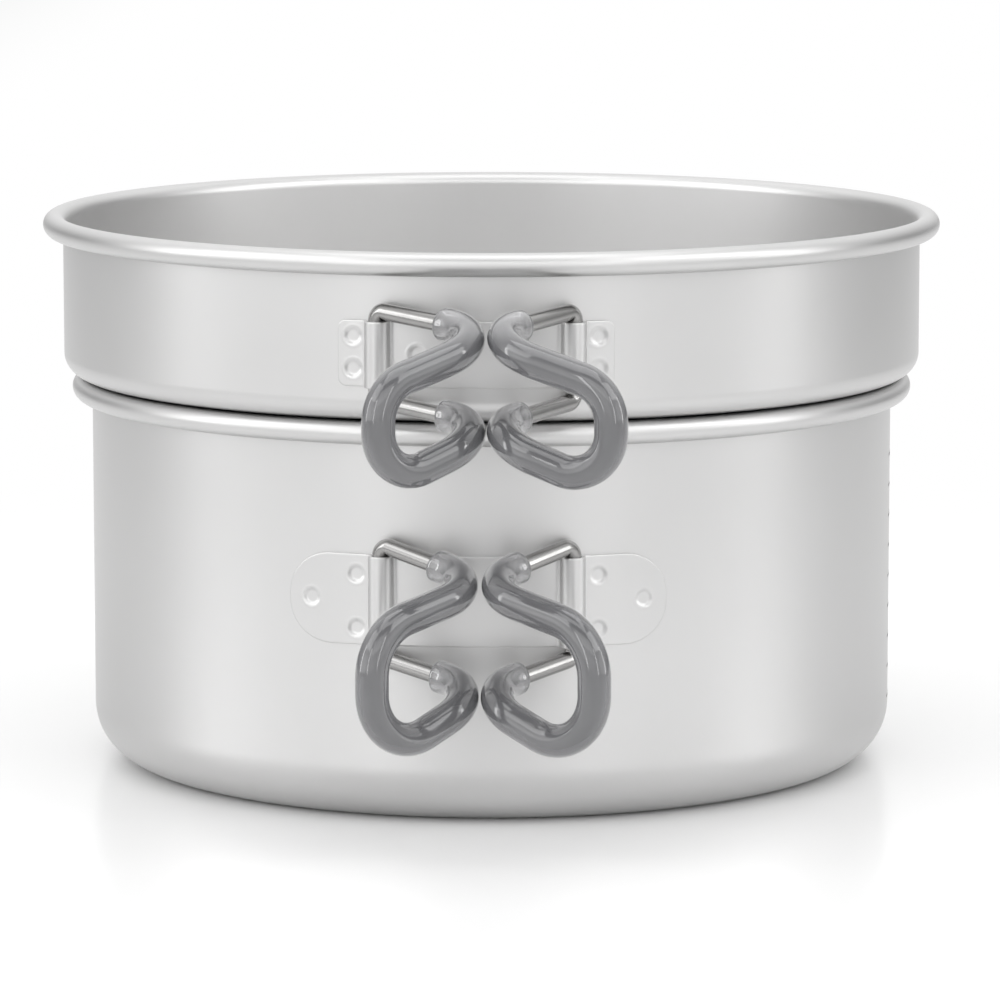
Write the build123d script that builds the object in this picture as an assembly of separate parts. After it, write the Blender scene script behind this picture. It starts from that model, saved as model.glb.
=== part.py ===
from build123d import *

import math
import os

# Camping cook set: a deep pot with a wide shallow pan standing on its rim.
# Origin: centre of the pot's underside. +Z is up, and the handles face -Y.
# Every size is in millimetres, and every angle is in degrees.

# ---- vessels ----
SHEET = 0.5  # thickness of the drawn titanium sheet
CURL_R = 2.1  # outer radius of the rolled rim
CURL_TURN = 310  # how far round the rim is rolled

POT_R = 75.0  # outside of the pot's wall
POT_CORNER_R = 10.5
POT_CURL_Z = 70.4  # height of the centre of the pot's rolled rim

PAN_R = 80.2
PAN_CORNER_R = 4.0
PAN_REST_GAP = 0.3  # room between the pot's rim and the pan that stands on it
PAN_CURL_Z = 100.8

# ---- hinge brackets: strips welded to the wall ----
STRIP_T = 0.6  # thickness of the strip
WIRE_D = 3.0
HINGE_PLAY = 0.08  # radial room for the wire in its knuckle
WIRE_WALL_GAP = 0.1  # room between the wire's hinge leg and the vessel's wall
WELD_R = 1.3  # radius of a weld dimple
WELD_DEPTH = 0.25
KNUCKLE_ROOT_R = 0.7  # inside bend where the strip turns up into a knuckle

POT_STRIP_LOW, POT_STRIP_HIGH = 32.5, 48.7
POT_STRIP_HALF_ARC = 26.2
POT_STRIP_CORNER_R = 7.4
POT_HINGE_X = 16.95

PAN_STRIP_LOW, PAN_STRIP_HIGH = 79.1, 90.8
PAN_STRIP_HALF_ARC = 17.4
PAN_STRIP_CORNER_R = 1.5
PAN_HINGE_X = 17.2

# Weld dimples of each strip: (angle from the strip's middle, height), on both halves.
POT_WELDS = [(16.4, 45.1), (22.9, 40.6), (16.4, 35.5)]
PAN_WELDS = [(15.4, 88.0), (15.4, 82.3), (7.2, 85.0)]

# ---- wings: bent wire handles ----
SLEEVE_D = 5.8
SLEEVE_BORE_PLAY = 0.02  # the silicone sleeve hugs the wire
SLEEVE_START = 0.54  # share of the run from hinge to waist that stays bare wire
WIRE_END_GAP = 0.4  # the wire's two ends almost meet inside the knuckle

# A wing's path, from its hinge: "in" is sideways towards the other wing, "out" is away
# from the vessel, and z is the height. Each pair is (top run, bottom run).
PAN_WING = {
    "lean": 7.6,  # how far the wing swings towards +X where it rests
    "hinge_z": (92.7, 76.9),
    "waist": (19.7, 21.5),
    "waist_z": (90.4, 74.5),
    "end": (-2.4, 34.0),
    "end_z": (83.0, 65.9),
    "waist_r": 10.0,
    "end_r": (7.6, 7.0),
    "hinge_r": (1.8, 1.9),
}
POT_WING = {
    "lean": 4.0,
    "hinge_z": (50.8, 30.6),
    "waist": (18.15, 16.6),
    "waist_z": (46.1, 27.2),
    "end": (-2.0, 33.2),
    "end_z": (40.5, 17.1),
    "waist_r": 9.0,
    "end_r": (9.6, 8.8),
    "hinge_r": (1.9, 1.75),
}

PAN_FLOOR_Z = POT_CURL_Z + CURL_R + PAN_REST_GAP


def vessel(outer_r, corner_r, floor_z, curl_z):
    """A drawn round vessel: flat floor, rounded corner, straight wall, rolled rim."""
    bore_r = CURL_R - SHEET
    curl_x = outer_r + bore_r
    end_angle = math.radians(180 - CURL_TURN)
    curl_end = [
        (curl_x + r * math.cos(end_angle), curl_z + r * math.sin(end_angle))
        for r in (bore_r, CURL_R)
    ]
    corner = (outer_r - corner_r, floor_z + corner_r)
    with BuildSketch(Plane.XZ) as section:
        with BuildLine():
            Line((0, floor_z), (corner[0], floor_z))
            CenterArc(corner, corner_r, -90, 90)
            Line((outer_r, corner[1]), (outer_r, curl_z))
            CenterArc((curl_x, curl_z), bore_r, 180, -CURL_TURN)
            Line(*curl_end)
            CenterArc((curl_x, curl_z), CURL_R, 180 - CURL_TURN, CURL_TURN)
            Line((outer_r - SHEET, curl_z), (outer_r - SHEET, corner[1]))
            CenterArc(corner, corner_r - SHEET, 0, -90)
            Line((corner[0], floor_z + SHEET), (0, floor_z + SHEET))
            Line((0, floor_z + SHEET), (0, floor_z))
        make_face()
    return revolve(section.sketch, axis=Axis.Z)


def hinge_y(wall_r, hinge_x):
    """Where the hinge axis lies, so that the wire just clears the wall."""
    axis_r = wall_r + WIRE_WALL_GAP + WIRE_D / 2
    return -math.sqrt(axis_r**2 - hinge_x**2)


def knuckle(wall_r, hinge_x):
    """Section of one knuckle: its outside, and the channel for the hinge leg."""
    bore_r = WIRE_D / 2 + HINGE_PLAY
    outer_r = bore_r + STRIP_T
    y = hinge_y(wall_r, hinge_x)
    outside = Circle(outer_r) + Pos(0, outer_r / 2) * Rectangle(2 * outer_r, outer_r)
    channel = Circle(bore_r) + Pos(0, outer_r) * Rectangle(2 * bore_r, 2 * outer_r)
    place = Pos(hinge_x, y) * Rot(0, 0, math.degrees(math.atan2(hinge_x, -y)))
    return place * outside, place * channel


def strip_section(wall_r, hinge_x):
    """The strip seen from above: a curved band that turns up into two knuckles."""
    section = Circle(wall_r + STRIP_T) - Circle(wall_r)
    knuckles = [knuckle(wall_r, side * hinge_x) for side in (-1, 1)]
    for outside, _ in knuckles:
        section = section + (outside - Circle(wall_r))
    root_r = wall_r + STRIP_T
    roots = [v for v in section.vertices() if abs(Vector(v).length - root_r) < 1e-3]
    roots = [v for v in roots if v.Y < -hinge_x]
    section = fillet(roots, KNUCKLE_ROOT_R)
    for _, channel in knuckles:
        section = section - channel
    return section


def weld_dimple(wall_r, angle, z):
    """A shallow round dent, pressed into the strip's face at one weld."""
    face_r = wall_r + STRIP_T
    ball_r = (WELD_R**2 + WELD_DEPTH**2) / (2 * WELD_DEPTH)
    centre_r = face_r + ball_r - WELD_DEPTH
    a = math.radians(angle)
    return Pos(centre_r * math.sin(a), -centre_r * math.cos(a), z) * Sphere(ball_r)


def hinge_bracket(wall_r, hinge_x, low, high, half_arc, corner_r, welds):
    """A strip curved to the wall, with two raised knuckles and its weld dimples."""
    half_width = (wall_r + STRIP_T) * math.sin(math.radians(half_arc))
    front = Plane((0, 0, (low + high) / 2), x_dir=(1, 0, 0), z_dir=(0, -1, 0))
    outline = front * RectangleRounded(2 * half_width, high - low, corner_r)
    band = Pos(0, 0, low) * extrude(strip_section(wall_r, hinge_x), amount=high - low)
    strip = band & extrude(outline, amount=2 * wall_r)
    for angle, z in welds:
        for side in (-1, 1):
            strip = strip - weld_dimple(wall_r, side * angle, z)
    return strip


def wing_points(wing):
    """Corner points of a wing's wire, from the hinge leg round and back to it."""
    top, bottom = range(2)
    middle_z = sum(wing["hinge_z"]) / 2
    points = []
    for run, half_gap in ((top, WIRE_END_GAP / 2), (bottom, -WIRE_END_GAP / 2)):
        points.append(
            [
                (0, 0, middle_z + half_gap),
                (0, 0, wing["hinge_z"][run]),
                (*wing["waist"], wing["waist_z"][run]),
                (*wing["end"], wing["end_z"][run]),
            ]
        )
    return points[top] + points[bottom][::-1]


def bend_radii(wing):
    """Bend radius at each corner between the wire's two ends."""
    radii = [[wing["hinge_r"][run], wing["waist_r"], wing["end_r"][run]] for run in (0, 1)]
    return radii[0] + radii[1][::-1]


def tube(points, radii, outer_d, bore_d=0.0):
    """A round tube or rod along straight runs joined by arcs."""
    path = FilletPolyline(*points, radius=radii)
    section = Circle(outer_d / 2)
    if bore_d:
        section = section - Circle(bore_d / 2)
    return sweep(Plane(path @ 0, z_dir=path % 0) * section, path=path)


def between(a, b, share):
    """The point that lies a share of the way from a to b."""
    return tuple(p + (q - p) * share for p, q in zip(a, b))


def place_wing(shape, side, hinge, lean):
    """Turns a wing made at the origin out from the vessel and onto its hinge."""
    facing = mirror(shape, about=Plane.XZ)  # "out" becomes -Y
    if side > 0:
        facing = mirror(facing, about=Plane.YZ)
    return Pos(*hinge, 0) * Rot(0, 0, lean) * facing


def wing_parts(wing, side, hinge):
    """The bent wire and the sleeve of one wing, where they rest."""
    points = wing_points(wing)
    radii = bend_radii(wing)
    wire = tube(points, radii, WIRE_D)
    sleeve_points = points[2:-2]
    sleeve_points.insert(0, between(points[1], points[2], SLEEVE_START))
    sleeve_points.append(between(points[-2], points[-3], SLEEVE_START))
    sleeve = tube(sleeve_points, radii[1:-1], SLEEVE_D, WIRE_D + 2 * SLEEVE_BORE_PLAY)
    return [place_wing(shape, side, hinge, wing["lean"]) for shape in (wire, sleeve)]


def write(node, shape):
    """Writes one node's solid to its own file."""
    shape.label = node
    export_step(shape, f"parts/{node}.step")


os.makedirs("parts", exist_ok=True)
write("pot_shell", vessel(POT_R, POT_CORNER_R, 0, POT_CURL_Z))
write("pan_shell", vessel(PAN_R, PAN_CORNER_R, PAN_FLOOR_Z, PAN_CURL_Z))

pot_strip = (POT_STRIP_LOW, POT_STRIP_HIGH, POT_STRIP_HALF_ARC, POT_STRIP_CORNER_R)
pan_strip = (PAN_STRIP_LOW, PAN_STRIP_HIGH, PAN_STRIP_HALF_ARC, PAN_STRIP_CORNER_R)
write("pot_hinge_bracket", hinge_bracket(POT_R, POT_HINGE_X, *pot_strip, POT_WELDS))
write("pan_hinge_bracket", hinge_bracket(PAN_R, PAN_HINGE_X, *pan_strip, PAN_WELDS))

for vessel_name, wing, wall_r, hinge_x in (
    ("pot", POT_WING, POT_R, POT_HINGE_X),
    ("pan", PAN_WING, PAN_R, PAN_HINGE_X),
):
    for side_name, side in (("left", -1), ("right", 1)):
        hinge = (side * hinge_x, hinge_y(wall_r, hinge_x))
        wire, sleeve = wing_parts(wing, side, hinge)
        write(f"{vessel_name}_{side_name}_wire", wire)
        write(f"{vessel_name}_{side_name}_sleeve", sleeve)
        print(vessel_name, side_name, "hinge at", [round(c, 3) for c in hinge])
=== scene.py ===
import math

import bpy
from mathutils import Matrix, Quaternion, Vector


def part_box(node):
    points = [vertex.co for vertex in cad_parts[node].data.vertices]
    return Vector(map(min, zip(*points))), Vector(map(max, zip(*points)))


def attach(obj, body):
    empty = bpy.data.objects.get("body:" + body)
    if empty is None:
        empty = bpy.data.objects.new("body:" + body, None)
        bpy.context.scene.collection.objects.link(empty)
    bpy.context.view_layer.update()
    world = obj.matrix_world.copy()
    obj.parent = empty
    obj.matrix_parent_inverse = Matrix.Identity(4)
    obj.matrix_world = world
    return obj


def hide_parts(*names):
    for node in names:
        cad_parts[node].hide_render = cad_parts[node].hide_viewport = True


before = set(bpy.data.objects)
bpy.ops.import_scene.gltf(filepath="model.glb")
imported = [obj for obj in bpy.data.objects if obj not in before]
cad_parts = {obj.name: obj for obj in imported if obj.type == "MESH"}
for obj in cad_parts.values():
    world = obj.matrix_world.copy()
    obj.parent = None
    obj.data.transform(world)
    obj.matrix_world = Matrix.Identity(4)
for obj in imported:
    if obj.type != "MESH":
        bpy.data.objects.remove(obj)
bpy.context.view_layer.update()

MM = 0.001

# ---- camera: distance from the pot's axis, height above its underside, and aim ----
CAMERA_DISTANCE = 1.0405
CAMERA_AZIMUTH = math.radians(2.0)
CAMERA_HEIGHT = 0.1994
AIM_HEIGHT = 0.0478
AIM_RIGHT = 0.0016
LENS_MM = 200.25
SENSOR_MM = 36
CLIP_START, CLIP_END = 0.05, 50

# ---- studio: azimuths in degrees round from the front, and elevations up from level ----
# The room, as broad patches of light: (azimuth, elevation, brightness).
WORLD_POWER = 7  # a higher power makes each patch narrower
WORLD = {
    "front": (0, 8, 0.9),
    "front_left": (-36, 8, 0.8),
    "front_right": (36, 8, 0.45),
    "left": (-72, 8, 1.7),
    "right": (72, 8, 1.4),
    "back": (180, 8, 0.9),
    "back_high": (180, 50, 0.5),
    "far_left_high": (-130, 45, 1.2),
    "far_right_high": (130, 45, 1.1),
}
# Soft boxes: (azimuth, elevation, distance, (width, height), watts).
SOFT_BOXES = {
    "overhead": (0, 80, 1.2, (1.1, 1.0), 5.6),
    "left_high": (-60, 42, 1.3, (0.9, 0.6), 2.9),
    "right_high": (60, 42, 1.3, (0.9, 0.6), 3.3),
    "front": (0, 32, 1.3, (1.0, 0.5), 1.4),
    "left_side": (-82, 8, 1.3, (0.14, 1.1), 1.7),
    "right_side": (82, 8, 1.3, (0.14, 1.1), 1.9),
    "left_strip": (-29, 10, 1.3, (0.10, 1.0), 1.1),
    "right_strip": (29, 10, 1.3, (0.10, 1.0), 1.1),
}
LIGHT_AIM_HEIGHT = 0.05
FLOOR_HALF_WIDTH = 8.0
FLOOR_TONE = 0.87
# The floor turns into a glowing sweep between two distances from the pot's axis, and
# the sweep dims between two distances to either side.
SWEEP_START, SWEEP_END, SWEEP_GLOW = 0.11, 0.36, 1.0
SIDE_START, SIDE_END, SIDE_GLOW = 0.28, 0.7, 0.72

# ---- metal: tones, and roughness ----
# The inside tone is painted light: the vessels' insides are lifted to a lighter copy of the same
# metal.
SHELL_TONE, PAINTED_LIGHT_INSIDE_TONE, SHELL_ROUGHNESS = 0.60, 0.64, 0.40
STRIP_TONE, STRIP_ROUGHNESS = 0.60, 0.38

# ---- vessels ----
SHEET = 0.5 * MM
CURL_R = 2.1 * MM
CURL_TURN = 310  # how far round the rim is rolled, in degrees
POT_CORNER_R = 10.5 * MM
PAN_CORNER_R = 4.0 * MM
AROUND = 288  # segments round a vessel
CORNER_STEPS = 18
CURL_BORE_STEPS, CURL_STEPS = 28, 40
# Where the floor and the wall have rings, as shares, closer together near the bends.
FLOOR_RINGS = (0.0, 0.02, 0.1, 0.25, 0.5, 0.75, 0.9, 0.97, 0.992)
WALL_RINGS = (0.008, 0.03, 0.12, 0.5, 0.88, 0.97, 0.992)

# ---- hinge brackets ----
STRIP_T = 0.6 * MM
STRIP_EDGE_R = 0.14 * MM
WIRE_D = 3.0 * MM
HINGE_PLAY = 0.08 * MM
WIRE_WALL_GAP = 0.1 * MM
KNUCKLE_BORE_R = WIRE_D / 2 + HINGE_PLAY
KNUCKLE_R = KNUCKLE_BORE_R + STRIP_T
KNUCKLE_ROOT_R = 0.7 * MM  # inside bend where the strip turns up into a knuckle
KNUCKLE_STEPS, KNUCKLE_ROOT_STEPS = 28, 8
WELD_R = 1.7 * MM
WELD_DEPTH = 0.3 * MM
WELD_FLAT = 0.55  # share of a weld dent's radius that is flat
WELD_LIP = 0.035 * MM  # height of the lip raised round the dent
WELD_LIP_SHARE = 0.25  # width of that lip, as a share of the dent's radius
STRIP_CELL = 0.2 * MM  # size of the strip's mesh cells

# Per vessel: half arc in degrees, corner radius, hinge offset, and the welds of each
# half as (angle from the strip's middle, height).
BRACKETS = {
    "pot": {
        "half_arc": 26.2,
        "corner_r": 7.4 * MM,
        "hinge_x": 16.95 * MM,
        "welds": [(16.4, 45.1 * MM), (22.9, 40.6 * MM), (16.4, 35.5 * MM)],
    },
    "pan": {
        "half_arc": 17.4,
        "corner_r": 1.5 * MM,
        "hinge_x": 17.2 * MM,
        "welds": [(15.4, 88.0 * MM), (15.4, 82.3 * MM), (7.2, 85.0 * MM)],
    },
}

# ---- wings: a wire's path, with every length in mm ----
# "waist" and "end" are (sideways towards the other wing, away from the vessel) from the
# hinge, and "lean" is the wing's turn about it, in degrees. The heights and the bend radii
# that come in pairs are (top run, bottom run).
WINGS = {
    "pan": {
        "lean": 7.6,
        "hinge_z": (92.7, 76.9),
        "waist": (19.7, 21.5),
        "waist_z": (90.4, 74.5),
        "end": (-2.4, 34.0),
        "end_z": (83.0, 65.9),
        "waist_r": 10.0,
        "end_r": (7.6, 7.0),
        "hinge_r": (1.8, 1.9),
    },
    "pot": {
        "lean": 4.0,
        "hinge_z": (50.8, 30.6),
        "waist": (18.15, 16.6),
        "waist_z": (46.1, 27.2),
        "end": (-2.0, 33.2),
        "end_z": (40.5, 17.1),
        "waist_r": 9.0,
        "end_r": (9.6, 8.8),
        "hinge_r": (1.9, 1.75),
    },
}
WIRE_END_GAP = 0.4  # between the wire's two ends, in mm like the paths
WIRE_TIP_R = 0.4 * MM  # rounding of the wire's cut ends
WIRE_STEP, SLEEVE_STEP = 2 * MM, 0.8 * MM  # most between two rings of the mesh
SLEEVE_D = 5.8 * MM
SLEEVE_BORE = 3.04 * MM
SLEEVE_START = 0.54  # share of the run from hinge to waist that stays bare wire
SLEEVE_LIP_R = 0.4 * MM
SLEEVE_MOUTH = 0.12 * MM  # chamfer where the bore opens
# Over this length the sleeve's ends are also painted paler, as painted light shining through
# them.
SLEEVE_FADE = 5 * MM  # length over which the silicone clears towards its ends
SLEEVE_SLANT = 0.1  # how far out of square the sleeves are cut

# ---- graduation marks on the pot's +X side ----
ML = 1e-6  # one millilitre in cubic metres
FIRST_MARK_ML, LAST_MARK_ML = 200, 1000
ML_PER_MARK, ML_PER_NUMBER = 100, 200
MARK_START = math.radians(84)  # where the marks begin, round from the front
MARK_PROUD = 0.02 * MM
MARK_WIDTH = 0.5 * MM
LONG_MARK, SHORT_MARK = 9 * MM, 6 * MM
MARK_STEPS = 12
NUMBER_GAP = 1.2 * MM
NUMBER_SIZE = 4.2 * MM


def make_camera():
    """A long lens, a little above the set and just right of its handles."""
    across = Vector((math.cos(CAMERA_AZIMUTH), math.sin(CAMERA_AZIMUTH), 0))
    towards = Vector((math.sin(CAMERA_AZIMUTH), -math.cos(CAMERA_AZIMUTH), 0))
    data = bpy.data.cameras.new("camera")
    data.lens = LENS_MM
    data.sensor_width = SENSOR_MM
    data.clip_start = CLIP_START
    data.clip_end = CLIP_END
    camera = bpy.data.objects.new("camera", data)
    camera.location = towards * CAMERA_DISTANCE + Vector((0, 0, CAMERA_HEIGHT))
    target = across * AIM_RIGHT + Vector((0, 0, AIM_HEIGHT))
    camera.rotation_euler = (target - camera.location).to_track_quat("-Z", "Y").to_euler()
    bpy.context.scene.collection.objects.link(camera)
    bpy.context.scene.camera = camera


# ---- materials ----


class Nodes:
    """A short way to build one material's node tree."""

    def __init__(self, name):
        self.material = bpy.data.materials.new(name)
        self.material.use_nodes = True
        self.tree = self.material.node_tree
        self.shader = self.tree.nodes["Principled BSDF"]
        self.coords = self.add("ShaderNodeTexCoord").outputs["Object"]

    def add(self, kind, **values):
        node = self.tree.nodes.new(kind)
        for key, value in values.items():
            setattr(node, key, value)
        return node

    def link(self, a, b):
        self.tree.links.new(a, b)

    def noise(self, scale, detail=3.0, roughness=0.5):
        """Noise over the object's own coordinates."""
        node = self.add("ShaderNodeTexNoise")
        node.inputs["Scale"].default_value = scale
        node.inputs["Detail"].default_value = detail
        node.inputs["Roughness"].default_value = roughness
        self.link(self.coords, node.inputs["Vector"])
        return node.outputs["Fac"]

    def remap(self, value, low, high, start=0.0, end=1.0, kind="LINEAR"):
        """Turns values from start to end into values from low to high."""
        node = self.add("ShaderNodeMapRange", interpolation_type=kind)
        node.inputs["From Min"].default_value = start
        node.inputs["From Max"].default_value = end
        node.inputs["To Min"].default_value = low
        node.inputs["To Max"].default_value = high
        self.link(value, node.inputs["Value"])
        return node.outputs["Result"]

    def vary(self, noise, low, high):
        """Turns noise, which lies mostly between 0.3 and 0.7, into values from low to high."""
        return self.remap(noise, low, high, start=0.3, end=0.7)

    def two_tones(self, factor, first, second):
        node = self.add("ShaderNodeMix", data_type="RGBA")
        node.inputs["A"].default_value = (*first, 1)
        node.inputs["B"].default_value = (*second, 1)
        self.link(factor, node.inputs["Factor"])
        return node.outputs["Result"]

    def bump(self, height, distance, strength):
        node = self.add("ShaderNodeBump")
        node.inputs["Strength"].default_value = strength
        node.inputs["Distance"].default_value = distance
        self.link(height, node.inputs["Height"])
        return node.outputs["Normal"]

    def facing_axis(self):
        """Rises from 0 to 1 as the surface turns to face the object's Z axis."""
        flat = self.add("ShaderNodeVectorMath", operation="MULTIPLY")
        flat.inputs[1].default_value = (1, 1, 0)
        self.link(self.coords, flat.inputs[0])
        outward = self.add("ShaderNodeVectorMath", operation="NORMALIZE")
        self.link(flat.outputs["Vector"], outward.inputs[0])
        dot = self.add("ShaderNodeVectorMath", operation="DOT_PRODUCT")
        self.link(outward.outputs["Vector"], dot.inputs[0])
        self.link(self.add("ShaderNodeTexCoord").outputs["Normal"], dot.inputs[1])
        return self.remap(dot.outputs["Value"], 0.0, 1.0, start=-0.3, end=-0.8)

    def set(self, **values):
        """Sets the shader's own sockets, with _ for the spaces in their names."""
        for key, value in values.items():
            socket = self.shader.inputs[key.replace("_", " ")]
            if hasattr(value, "is_linked"):
                self.link(value, socket)
            else:
                socket.default_value = value


def satin_titanium(name, tone, rough, inside=None):
    """Bead-blasted titanium: fine grain, with faint drifts of tone and gloss.

    If an inside tone is given, the side that faces the vessel's axis has that tone, a lighter
    copy of the same metal: painted light standing in for light inside the vessel.
    """
    n = Nodes(name)
    drift = n.noise(scale=14, detail=4)
    grain = n.noise(scale=2600, detail=2)
    darker, lighter = tone - 0.02, tone + 0.02
    mottle = n.two_tones(
        n.vary(drift, 0, 1),
        (darker + 0.002, darker, darker - 0.002),
        (lighter + 0.002, lighter, lighter - 0.001),
    )
    # Painted light: the side that faces the axis is lifted to the lighter inside tone.
    if inside:
        inner = n.two_tones(n.facing_axis(), (1, 1, 1), (inside / tone,) * 3)
        with_painted_light = n.add("ShaderNodeMix", data_type="RGBA", blend_type="MULTIPLY")
        with_painted_light.inputs["Factor"].default_value = 1
        n.link(mottle, with_painted_light.inputs["A"])
        n.link(inner, with_painted_light.inputs["B"])
        mottle = with_painted_light.outputs["Result"]
    gloss = n.vary(drift, rough - 0.02, rough + 0.02)
    n.set(Base_Color=mottle, Metallic=1.0, Roughness=gloss)
    n.set(Normal=n.bump(grain, distance=0.02 * MM, strength=0.35))
    return n.material


def polished_wire():
    """Drawn wire: bright, with fine scuffs and duller patches."""
    n = Nodes("polished_wire")
    scuffs = n.noise(scale=700, detail=4, roughness=0.6)
    patches = n.noise(scale=160, detail=2)
    tone = n.two_tones(patches, (0.28, 0.277, 0.274), (0.36, 0.356, 0.35))
    n.set(Base_Color=tone, Metallic=1.0)
    n.set(Roughness=n.vary(scuffs, 0.16, 0.22))
    return n.material


def silicone():
    """Grey silicone: glossy, half clear, and clearer where open_end rises to 1, with a paler
    colour painted there as light shining through the ends.
    """
    n = Nodes("grey_silicone")
    cloud = n.noise(scale=90)
    smears = n.noise(scale=260)
    tone = n.two_tones(cloud, (0.20, 0.20, 0.21), (0.25, 0.25, 0.26))
    open_end = n.add("ShaderNodeAttribute", attribute_name="open_end").outputs["Fac"]
    # Painted light: a paler colour towards the ends stands in for light shining through the
    # silicone.
    painted_end_glow = n.add("ShaderNodeMix", data_type="RGBA")
    painted_end_glow.inputs["B"].default_value = (0.62, 0.62, 0.63, 1)
    n.link(open_end, painted_end_glow.inputs["Factor"])
    n.link(tone, painted_end_glow.inputs["A"])
    n.set(Base_Color=painted_end_glow.outputs["Result"])
    n.set(Roughness=n.vary(smears, 0.05, 0.12))
    n.set(Transmission_Weight=n.remap(open_end, 0.5, 0.8), IOR=1.45)
    n.set(Coat_Weight=0.8, Coat_Roughness=0.06, Coat_IOR=1.6)
    n.set(Normal=n.bump(smears, distance=0.02 * MM, strength=0.2))
    return n.material


def etched_mark():
    """Dark grey laser marking, a little uneven in its tone."""
    n = Nodes("etched_mark")
    tone = n.two_tones(n.noise(scale=1500), (0.10, 0.10, 0.105), (0.18, 0.18, 0.185))
    n.set(Base_Color=tone, Metallic=0.3, Roughness=0.6)
    return n.material


def pale_floor():
    """Pale and faintly glossy, and a glowing sweep further out, dimmer to the sides."""
    n = Nodes("pale_floor")
    cloud = n.noise(scale=3, detail=2)
    tone = n.two_tones(cloud, (FLOOR_TONE,) * 3, (FLOOR_TONE + 0.02,) * 3)
    n.set(Base_Color=tone, Roughness=0.25, Specular_IOR_Level=0.3)
    distance = n.add("ShaderNodeVectorMath", operation="LENGTH")
    n.link(n.coords, distance.inputs[0])
    apart = n.add("ShaderNodeSeparateXYZ")
    n.link(n.coords, apart.inputs["Vector"])
    aside = n.add("ShaderNodeMath", operation="ABSOLUTE")
    n.link(apart.outputs["X"], aside.inputs[0])
    eased = "SMOOTHSTEP"
    far = n.remap(distance.outputs["Value"], 0.0, 1.0, SWEEP_START, SWEEP_END, eased)
    power = n.remap(aside.outputs["Value"], SWEEP_GLOW, SIDE_GLOW, SIDE_START, SIDE_END, eased)
    glow = n.add("ShaderNodeEmission")
    n.link(power, glow.inputs["Strength"])
    mix = n.add("ShaderNodeMixShader")
    n.link(far, mix.inputs["Fac"])
    n.link(n.shader.outputs["BSDF"], mix.inputs[1])
    n.link(glow.outputs["Emission"], mix.inputs[2])
    n.link(mix.outputs["Shader"], n.tree.nodes["Material Output"].inputs["Surface"])
    return n.material


# ---- mesh helpers ----


def make_piece(name, mesh_data, material, body, replaced=(), sharp=35):
    """A finished mesh piece: smooth apart from real edges, and riding on its body."""
    vertices, faces = mesh_data
    mesh = bpy.data.meshes.new(name)
    mesh.from_pydata(vertices, [], faces)
    mesh.polygons.foreach_set("use_smooth", [True] * len(mesh.polygons))
    mesh.set_sharp_from_angle(angle=math.radians(sharp))
    mesh.validate()
    piece = bpy.data.objects.new(name, mesh)
    bpy.context.scene.collection.objects.link(piece)
    mesh.materials.append(material)
    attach(piece, body)
    if replaced:
        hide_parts(*replaced)
    return piece


def arc(centre, radius, start, turn, steps):
    """Points along an arc in a plane, its angles in degrees."""
    angles = [math.radians(start + turn * i / steps) for i in range(steps + 1)]
    return [(centre[0] + radius * math.cos(a), centre[1] + radius * math.sin(a)) for a in angles]


def lathe(profile):
    """Turns a profile of (radius, z) about Z. Its first and last points are on Z."""
    spin = [(math.cos(a), math.sin(a)) for a in (2 * math.pi * k / AROUND for k in range(AROUND))]
    rings = profile[1:-1]
    vertices = [(r * c, r * s, z) for r, z in rings for c, s in spin]
    faces = []
    for i in range(len(rings) - 1):
        for k in range(AROUND):
            after = (k + 1) % AROUND
            low, high = i * AROUND, (i + 1) * AROUND
            faces.append((low + k, low + after, high + after, high + k))
    for (_, z), ring_at, flip in ((profile[0], 0, True), (profile[-1], len(rings) - 1, False)):
        pole = len(vertices)
        vertices.append((0, 0, z))
        for k in range(AROUND):
            a, b = ring_at * AROUND + k, ring_at * AROUND + (k + 1) % AROUND
            faces.append((pole, b, a) if flip else (pole, a, b))
    return vertices, faces


def vessel_profile(wall_r, corner_r, floor_z, curl_z):
    """Outline of a drawn vessel: flat floor, round corner, straight wall, rolled rim."""
    bore_r = CURL_R - SHEET
    curl = (wall_r + bore_r, curl_z)
    corner = (wall_r - corner_r, floor_z + corner_r)
    floor_rings = [share * corner[0] for share in FLOOR_RINGS]
    levels = [corner[1] + share * (curl_z - corner[1]) for share in WALL_RINGS]
    outside = [(r, floor_z) for r in floor_rings]
    outside += arc(corner, corner_r, -90, 90, CORNER_STEPS)
    outside += [(wall_r, z) for z in levels]
    outside += arc(curl, bore_r, 180, -CURL_TURN, CURL_BORE_STEPS)
    inside = arc(curl, CURL_R, 180 - CURL_TURN, CURL_TURN, CURL_STEPS)
    inside += [(wall_r - SHEET, z) for z in reversed(levels)]
    inside += arc(corner, corner_r - SHEET, 0, -90, CORNER_STEPS)
    inside += [(r, floor_z + SHEET) for r in reversed(floor_rings)]
    return outside + inside


def filleted(points, radii, step=math.radians(3)):
    """A line of straight runs joined by arcs, as points close together on the arcs."""
    line = [points[0]]
    for before, corner, after, radius in zip(points, points[1:], points[2:], radii):
        back = (before - corner).normalized()
        ahead = (after - corner).normalized()
        half = back.angle(ahead) / 2
        centre = corner + (back + ahead).normalized() * (radius / math.sin(half))
        first = corner + back * (radius / math.tan(half)) - centre
        last = corner + ahead * (radius / math.tan(half)) - centre
        turn = math.pi - 2 * half
        steps = max(2, math.ceil(turn / step))
        axis = first.cross(last).normalized()
        line += [centre + Quaternion(axis, turn * i / steps) @ first for i in range(steps + 1)]
    line.append(points[-1])
    return line


def subdivided(line, longest):
    """The same line with points added wherever two are further apart than longest."""
    out = [line[0]]
    for a, b in zip(line, line[1:]):
        parts = max(1, math.ceil((b - a).length / longest))
        out += [a.lerp(b, (i + 1) / parts) for i in range(parts)]
    return out


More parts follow.
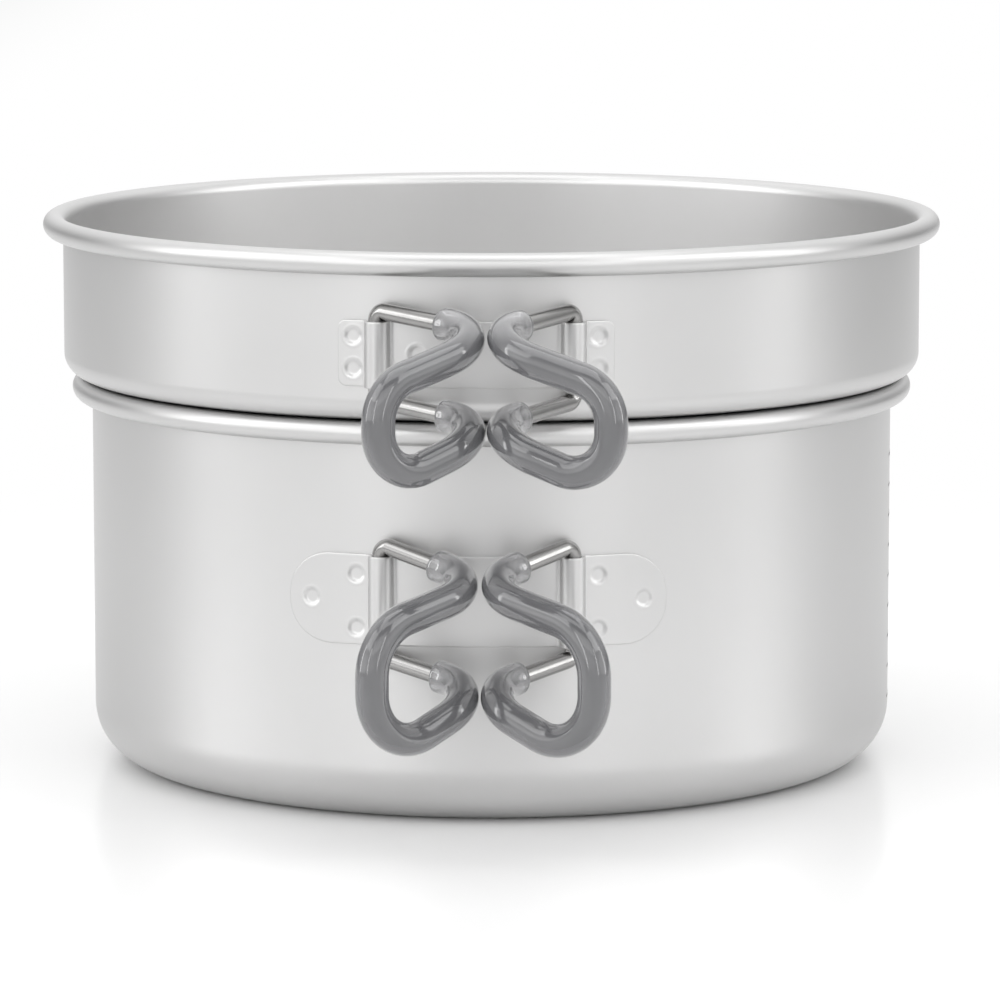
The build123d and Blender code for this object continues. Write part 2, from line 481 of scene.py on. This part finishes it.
def path_frames(line):
    """(point, tangent, normal, binormal) along a line, with no twist between them."""
    ends = [line[1] - line[0]] + [b - a for a, b in zip(line, line[2:])] + [line[-1] - line[-2]]
    tangents = [t.normalized() for t in ends]
    normal = tangents[0].orthogonal().normalized()
    frames = []
    previous = tangents[0]
    for point, tangent in zip(line, tangents):
        normal = previous.rotation_difference(tangent) @ normal
        frames.append((point, tangent, normal, tangent.cross(normal)))
        previous = tangent
    return frames


def ring(frame_at, radius, sides, along=0.0, slant=0.0):
    """One ring of a tube, moved along the path and, if asked, slanted out of square."""
    point, tangent, normal, binormal = frame_at
    out = []
    for k in range(sides):
        a = 2 * math.pi * k / sides
        shift = along + slant * radius * math.cos(a)
        radial = math.cos(a) * normal + math.sin(a) * binormal
        out.append(point + radius * radial + shift * tangent)
    return out


def skin(rings, closed):
    """Joins rings of equal size with quads.

    If closed, the last ring meets the first, and if not, each end gets a flat face.
    """
    sides = len(rings[0])
    vertices = [v for r in rings for v in r]
    faces = []
    spans = len(rings) if closed else len(rings) - 1
    for i in range(spans):
        low, high = i * sides, (i + 1) % len(rings) * sides
        for k in range(sides):
            after = (k + 1) % sides
            faces.append((low + k, low + after, high + after, high + k))
    if not closed:
        faces.append(tuple(reversed(range(sides))))
        faces.append(tuple(range(len(vertices) - sides, len(vertices))))
    return vertices, faces


def rounded_end(radius, round_r, angles):
    """(depth, radius) of the rings from a tube's end face to its full radius."""
    turns = [math.radians(a) for a in angles]
    return [(round_r * (1 - math.sin(a)), radius - round_r * (1 - math.cos(a))) for a in turns]


def rod(line, radius, sides=28):
    """A round bar along a line, with its ends rounded over."""
    frames = path_frames(line)
    start, end = frames[0], frames[-1]
    cap = rounded_end(radius, WIRE_TIP_R, (90, 60, 30, 0))
    rings = [ring(start, r, sides, depth) for depth, r in cap]
    rings += [ring(f, radius, sides) for f in frames[1:-1]]
    rings += [ring(end, r, sides, -depth) for depth, r in reversed(cap)]
    return skin(rings, closed=False)


def sleeve_tube(line, outer_r, bore_r, sides=48):
    """A soft tube along a line, with rounded lips, cut a little out of square."""
    frames = path_frames(line)
    lip = rounded_end(outer_r, SLEEVE_LIP_R, (90, 68, 45, 22, 0))
    start, end = frames[0], frames[-1]
    rings = [ring(start, bore_r + SLEEVE_MOUTH, sides, 0, SLEEVE_SLANT)]
    rings += [ring(start, r, sides, t, SLEEVE_SLANT) for t, r in lip]
    rings += [ring(f, outer_r, sides) for f in frames[2:-2]]
    rings += [ring(end, r, sides, -t, SLEEVE_SLANT) for t, r in reversed(lip)]
    rings += [ring(end, bore_r + SLEEVE_MOUTH, sides, 0, SLEEVE_SLANT)]
    rings += [ring(end, bore_r, sides, -SLEEVE_MOUTH, SLEEVE_SLANT)]
    rings += [ring(f, bore_r, sides) for f in frames[-3:1:-1]]
    rings += [ring(start, bore_r, sides, SLEEVE_MOUTH, SLEEVE_SLANT)]
    return skin(rings, closed=True)


# ---- vessels ----


def make_vessel(name, corner_r, material, body):
    """A vessel's shell, turned from its profile and sized from its CAD node."""
    low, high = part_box(f"{name}_shell")
    wall_r = (high.x - low.x) / 2 - (2 * CURL_R - SHEET)
    shape = lathe(vessel_profile(wall_r, corner_r, low.z, high.z - CURL_R))
    make_piece(f"{name}_vessel", shape, material, body, [f"{name}_shell"])
    return wall_r


# ---- hinge brackets ----


def on_wall(radius, angle):
    """A point seen from above, at an angle from -Y."""
    return Vector((radius * math.sin(angle), -radius * math.cos(angle)))


def hinge_axis_r(wall_r):
    """How far a hinge's axis lies from the vessel's, so that the wire clears the wall."""
    return wall_r + WIRE_WALL_GAP + WIRE_D / 2


def weld_dent(distance):
    """How far a weld dents the strip at a distance from its middle."""
    share = distance / WELD_R
    if share >= 1 + WELD_LIP_SHARE:
        return 0.0
    if share >= 1:
        return -WELD_LIP * math.sin(math.pi * (share - 1) / WELD_LIP_SHARE) ** 2
    if share <= WELD_FLAT:
        return WELD_DEPTH
    slope = (share - WELD_FLAT) / (1 - WELD_FLAT)
    return WELD_DEPTH * (0.5 + 0.5 * math.cos(math.pi * slope))


class Strip:
    """One hinge strip, as columns of points along it and rows of points up it.

    Each column is (outer point, inner point, angle on the wall or None, place on the
    rounded end from 0 to 1). On the rounded end, the points come from that place.
    """

    def __init__(self, name, wall_r):
        bracket = BRACKETS[name]
        low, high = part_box(f"{name}_hinge_bracket")
        self.middle_z, self.half_height = (low.z + high.z) / 2, (high.z - low.z) / 2
        self.rows = round(2 * self.half_height / STRIP_CELL)
        self.wall_r, self.face_r = wall_r, wall_r + STRIP_T
        self.corner_r = bracket["corner_r"]
        end_x = self.face_r * math.sin(math.radians(bracket["half_arc"]))
        self.flat_x = end_x - self.corner_r
        self.welds = [(math.radians(angle), height) for angle, height in bracket["welds"]]
        self.axis_r = hinge_axis_r(wall_r)
        self.axis_angle = math.asin(bracket["hinge_x"] / self.axis_r)
        half = self.half_columns()
        self.columns = [(-1, c) for c in reversed(half[1:])] + [(1, c) for c in half]

    def by_hinge(self, u, v):
        """A point seen from above: u sideways of a hinge's axis, and v outward of it."""
        outward = on_wall(1, self.axis_angle)
        return outward * (self.axis_r + v) + Vector((-outward.y, outward.x)) * u

    def band(self, first, last):
        """Columns of the plain band, from one angle on the wall to another."""
        steps = max(2, round(self.face_r * (last - first) / STRIP_CELL))
        angles = [first + (last - first) * i / steps for i in range(steps + 1)]
        return [(on_wall(self.face_r, b), on_wall(self.wall_r, b), b, 0.0) for b in angles]

    def knuckle_side(self, side, root_u, root_v):
        """Columns round the root bend, from the band up to one side of a knuckle."""
        root_angle = math.asin(root_u / (self.face_r + KNUCKLE_ROOT_R))
        foot_angle = math.asin(KNUCKLE_BORE_R / self.wall_r)
        foot_v = math.sqrt(self.wall_r**2 - KNUCKLE_BORE_R**2) - self.axis_r
        start = math.atan2(-self.axis_r - root_v, -side * root_u)
        finish = 0 if side < 0 else -math.pi
        columns = []
        for i in range(1, KNUCKLE_ROOT_STEPS + 1):
            a = start + (finish - start) * i / KNUCKLE_ROOT_STEPS
            u = side * root_u + KNUCKLE_ROOT_R * math.cos(a)
            outer = self.by_hinge(u, root_v + KNUCKLE_ROOT_R * math.sin(a))
            share = 2 * i / KNUCKLE_ROOT_STEPS
            if share <= 1:
                angle = root_angle + (foot_angle - root_angle) * share
                inner = on_wall(self.wall_r, self.axis_angle + side * angle)
            else:
                v = foot_v + (root_v - foot_v) * (share - 1)
                inner = self.by_hinge(side * KNUCKLE_BORE_R, v)
            columns.append((outer, inner, None, 0.0))
        return columns

    def half_columns(self):
        """Every column from the strip's middle to its end."""
        root_u = KNUCKLE_R + KNUCKLE_ROOT_R
        root_r = self.face_r + KNUCKLE_ROOT_R
        root_v = math.sqrt(root_r**2 - root_u**2) - self.axis_r
        root_angle = math.asin(root_u / root_r)
        columns = self.band(0, self.axis_angle - root_angle)
        columns += self.knuckle_side(-1, root_u, root_v)
        for i in range(KNUCKLE_STEPS + 1):
            share = i / KNUCKLE_STEPS
            u, v = math.cos(math.pi * (1 - share)), math.sin(math.pi * share)
            outer = self.by_hinge(KNUCKLE_R * u, KNUCKLE_R * v)
            inner = self.by_hinge(KNUCKLE_BORE_R * u, KNUCKLE_BORE_R * v)
            columns.append((outer, inner, None, 0.0))
        columns += self.knuckle_side(1, root_u, root_v)[::-1]
        columns += self.band(self.axis_angle + root_angle, math.asin(self.flat_x / self.face_r))
        rounds = max(8, round(self.corner_r * math.pi / 2 / STRIP_CELL))
        return columns + [(None, None, None, (i + 1) / rounds) for i in range(rounds)]

    def point(self, i, j, inset, depth):
        """The point in a column and a row, inset from the outline and below the face."""
        side, (outer, inner, angle, place) = self.columns[i]
        reach = self.half_height - inset
        if place:
            turn = place * math.pi / 2
            radius = self.corner_r - inset
            angle = math.asin((self.flat_x + radius * math.sin(turn)) / self.face_r)
            reach = self.half_height - self.corner_r + radius * math.cos(turn)
            outer, inner = on_wall(self.face_r, angle), on_wall(self.wall_r, angle)
        z = self.middle_z + reach * (2 * j / self.rows - 1)
        if depth == 0 and angle is not None:
            gaps = [math.hypot(self.face_r * (angle - a), z - height) for a, height in self.welds]
            depth = max((weld_dent(gap) for gap in gaps), key=abs)
        flat = outer.lerp(inner, depth / STRIP_T)
        return (side * flat.x, flat.y, z)

    def back_faces(self, at):
        """The back, as quads from edge to edge and one face at each rounded end."""
        last, rows = len(self.columns) - 1, self.rows
        faces = [
            (at[i, 0], at[i, rows], at[i + 1, rows], at[i + 1, 0]) for i in range(1, last - 1)
        ]
        left_end = [at[0, j] for j in range(rows + 1)]
        right_end = [at[last, j] for j in range(rows, -1, -1)]
        faces.append((at[1, rows], at[1, 0], *left_end))
        faces.append((at[last - 1, 0], at[last - 1, rows], *right_end))
        return faces

    def mesh_data(self):
        """The face as a grid, rings down over its rounded edge, and then the back."""
        last, rows = len(self.columns) - 1, self.rows
        grid = [(i, j) for i in range(last + 1) for j in range(rows + 1)]
        index = {key: k for k, key in enumerate(grid)}
        vertices = [self.point(i, j, STRIP_EDGE_R, 0) for i, j in grid]
        faces = [
            (index[i, j], index[i + 1, j], index[i + 1, j + 1], index[i, j + 1])
            for i in range(last)
            for j in range(rows)
        ]
        loop = [(i, 0) for i in range(last)] + [(last, j) for j in range(rows)]
        loop += [(i, rows) for i in range(last, 0, -1)] + [(0, j) for j in range(rows, 0, -1)]
        edge = [index[key] for key in loop]
        eased = (1 - math.sqrt(0.5)) * STRIP_EDGE_R
        for inset, depth in ((eased, eased), (0, STRIP_EDGE_R), (0, STRIP_T)):
            new = list(range(len(vertices), len(vertices) + len(loop)))
            vertices += [self.point(i, j, inset, depth) for i, j in loop]
            for k in range(len(loop)):
                after = (k + 1) % len(loop)
                faces.append((edge[k], new[k], new[after], edge[after]))
            edge = new
        return vertices, faces + self.back_faces(dict(zip(loop, edge)))


def make_bracket(name, wall_r, material, body):
    """A hinge strip with rounded edges, two knuckles and its weld dents."""
    shape = Strip(name, wall_r).mesh_data()
    replaced, slot = [f"{name}_hinge_bracket"], "bracket_titanium"
    make_piece(f"{name}_hinge_strip", shape, material, body, replaced, sharp=50)


# ---- wings ----


def wing_route(name, side, wall_r):
    """Corner points and bend radii of a wing's wire, in place on its hinge."""
    wing = WINGS[name]
    middle = sum(wing["hinge_z"]) / 2
    runs, radii = [], []
    for run, gap in ((0, WIRE_END_GAP / 2), (1, -WIRE_END_GAP / 2)):
        runs.append(
            [
                (0, 0, middle + gap),
                (0, 0, wing["hinge_z"][run]),
                (*wing["waist"], wing["waist_z"][run]),
                (*wing["end"], wing["end_z"][run]),
            ]
        )
        radii.append([wing["hinge_r"][run], wing["waist_r"], wing["end_r"][run]])
    hinge_x = BRACKETS[name]["hinge_x"]
    hinge = Vector((side * hinge_x, -math.sqrt(hinge_axis_r(wall_r) ** 2 - hinge_x**2), 0))
    lean = Quaternion((0, 0, 1), math.radians(wing["lean"]))
    points = [
        hinge + lean @ Vector((-side * inward * MM, -outward * MM, 0)) + Vector((0, 0, z * MM))
        for inward, outward, z in runs[0] + runs[1][::-1]
    ]
    return points, [r * MM for r in radii[0] + radii[1][::-1]]


def mark_open_ends(sleeve, vertices, ends):
    """Gives a sleeve's vertices the value open_end: 1 at its ends, fading to 0. It places the
    painted light at the ends.
    """
    values = []
    for vertex in vertices:
        past = min((vertex - end).length for end in ends) - SLEEVE_D / 2
        values.append(1 - min(1, max(0, past / SLEEVE_FADE)))
    layer = sleeve.data.attributes.new("open_end", "FLOAT", "POINT")
    layer.data.foreach_set("value", values)


def make_wing(name, side, wall_r, wire_metal, sleeve_rubber):
    """One wing: its bent wire, and the sleeve over most of it."""
    wing = f"{name}_left" if side < 0 else f"{name}_right"
    points, radii = wing_route(name, side, wall_r)
    shape = rod(subdivided(filleted(points, radii), WIRE_STEP), WIRE_D / 2)
    replaced, slot, body = [f"{wing}_wire"], "handle_wire", f"{wing}_wing"
    make_piece(f"{wing}_bent_wire", shape, wire_metal, body, replaced, sharp=60)
    covered = points[2:-2]
    covered.insert(0, points[1].lerp(points[2], SLEEVE_START))
    covered.append(points[-2].lerp(points[-3], SLEEVE_START))
    line = subdivided(filleted(covered, radii[1:-1]), SLEEVE_STEP)
    shape = sleeve_tube(line, SLEEVE_D / 2, SLEEVE_BORE / 2)
    replaced, slot = [f"{wing}_sleeve"], "silicone_sleeve"
    sleeve = make_piece(
        f"{wing}_grip_sleeve", shape, sleeve_rubber, body, replaced, sharp=60
    )
    mark_open_ends(sleeve, shape[0], (line[0], line[-1]))


# ---- graduation marks ----


def wrapped(flat_points, radius, start_angle):
    """Points drawn flat, as (along, height), wrapped round a wall of that radius."""
    out = []
    for along, height in flat_points:
        place = on_wall(radius, start_angle + along / radius)
        out.append((place.x, place.y, height))
    return out


def number_mesh(value, size):
    """The outline of a number, as flat points and faces."""
    text = bpy.data.curves.new("number", "FONT")
    text.body = str(value)
    text.size = size
    text.align_y = "CENTER"
    drawn = bpy.data.objects.new("number", text)
    flat = bpy.data.meshes.new_from_object(drawn)
    points = [(v.co.x, v.co.y) for v in flat.vertices]
    faces = [tuple(polygon.vertices) for polygon in flat.polygons]
    bpy.data.objects.remove(drawn)
    bpy.data.meshes.remove(flat)
    return points, faces


def make_marks(wall_r, material, body):
    """Graduation marks and their numbers, on the pot's outside at +X.

    Their heights take the pot's inside as a plain cylinder.
    """
    floor_area = math.pi * (wall_r - SHEET) ** 2
    radius = wall_r + MARK_PROUD
    vertices, faces = [], []

    def add(points, new_faces):
        first = len(vertices)
        vertices.extend(wrapped(points, radius, MARK_START))
        faces.extend(tuple(first + k for k in face) for face in new_faces)

    for ml in range(FIRST_MARK_ML, LAST_MARK_ML + 1, ML_PER_MARK):
        height = SHEET + ml * ML / floor_area
        numbered = ml % ML_PER_NUMBER == 0
        length = LONG_MARK if numbered else SHORT_MARK
        line = [
            (length * i / MARK_STEPS, height + edge)
            for i in range(MARK_STEPS + 1)
            for edge in (-MARK_WIDTH / 2, MARK_WIDTH / 2)
        ]
        add(line, [(k, k + 2, k + 3, k + 1) for k in range(0, 2 * MARK_STEPS, 2)])
        if numbered:
            points, number_faces = number_mesh(ml, NUMBER_SIZE)
            add([(x + length + NUMBER_GAP, y + height) for x, y in points], number_faces)
    make_piece("pot_graduations", (vertices, faces), material, body)


# ---- light and floor ----


def soft_light(name, azimuth, elevation, distance, size, watts):
    """A rectangular soft box that faces the middle of the set."""
    a, e = math.radians(azimuth), math.radians(elevation)
    aim = Vector((0, 0, LIGHT_AIM_HEIGHT))
    out = Vector((math.sin(a) * math.cos(e), -math.cos(a) * math.cos(e), math.sin(e)))
    data = bpy.data.lights.new(name, "AREA")
    data.shape = "RECTANGLE"
    data.size, data.size_y = size
    data.energy = watts
    light = bpy.data.objects.new(name, data)
    light.location = aim + out * distance
    light.visible_camera = False
    light.rotation_euler = (-out).to_track_quat("-Z", "Y").to_euler()
    bpy.context.scene.collection.objects.link(light)


def make_world():
    """A soft studio all round, as a sum of broad patches of light."""
    world = bpy.data.worlds.new("studio")
    world.use_nodes = True
    tree = world.node_tree
    background = tree.nodes["Background"]
    coords = tree.nodes.new("ShaderNodeTexCoord")

    def calculate(operation, *values):
        node = tree.nodes.new("ShaderNodeMath")
        node.operation = operation
        for socket, value in zip(node.inputs, values):
            if hasattr(value, "is_linked"):
                tree.links.new(value, socket)
            else:
                socket.default_value = value
        return node.outputs["Value"]

    total = 0.0
    for azimuth, elevation, brightness in WORLD.values():
        a, e = math.radians(azimuth), math.radians(elevation)
        dot = tree.nodes.new("ShaderNodeVectorMath")
        dot.operation = "DOT_PRODUCT"
        tree.links.new(coords.outputs["Generated"], dot.inputs[0])
        across, ahead = math.sin(a) * math.cos(e), -math.cos(a) * math.cos(e)
        dot.inputs[1].default_value = (across, ahead, math.sin(e))
        facing = calculate("MAXIMUM", dot.outputs["Value"], 0.0)
        patch = calculate("POWER", facing, WORLD_POWER)
        total = calculate("MULTIPLY_ADD", patch, brightness, total)
    tree.links.new(total, background.inputs["Strength"])
    background.inputs["Color"].default_value = (1, 1, 1, 1)
    bpy.context.scene.world = world


def make_floor():
    """One wide flat face, for the pot to stand on."""
    half = FLOOR_HALF_WIDTH
    mesh = bpy.data.meshes.new("floor")
    corners = [(-half, -half, 0), (half, -half, 0), (half, half, 0), (-half, half, 0)]
    mesh.from_pydata(corners, [], [(0, 1, 2, 3)])
    floor = bpy.data.objects.new("floor", mesh)
    bpy.context.scene.collection.objects.link(floor)
    floor.data.materials.append(pale_floor())


make_camera()
make_world()
make_floor()
for box_name, settings in SOFT_BOXES.items():
    soft_light(box_name, *settings)

shell_metal = satin_titanium("satin_titanium", SHELL_TONE, SHELL_ROUGHNESS, PAINTED_LIGHT_INSIDE_TONE)
strip_metal = satin_titanium("strip_titanium", STRIP_TONE, STRIP_ROUGHNESS)
wire_metal = polished_wire()
sleeve_rubber = silicone()
for vessel, corner_r in (("pot", POT_CORNER_R), ("pan", PAN_CORNER_R)):
    wall = make_vessel(vessel, corner_r, shell_metal, vessel)
    make_bracket(vessel, wall, strip_metal, vessel)
    for wing_side in (-1, 1):
        make_wing(vessel, wing_side, wall, wire_metal, sleeve_rubber)
    if vessel == "pot":
        make_marks(wall, etched_mark(), vessel)

bpy.context.scene.view_settings.view_transform = "Standard"
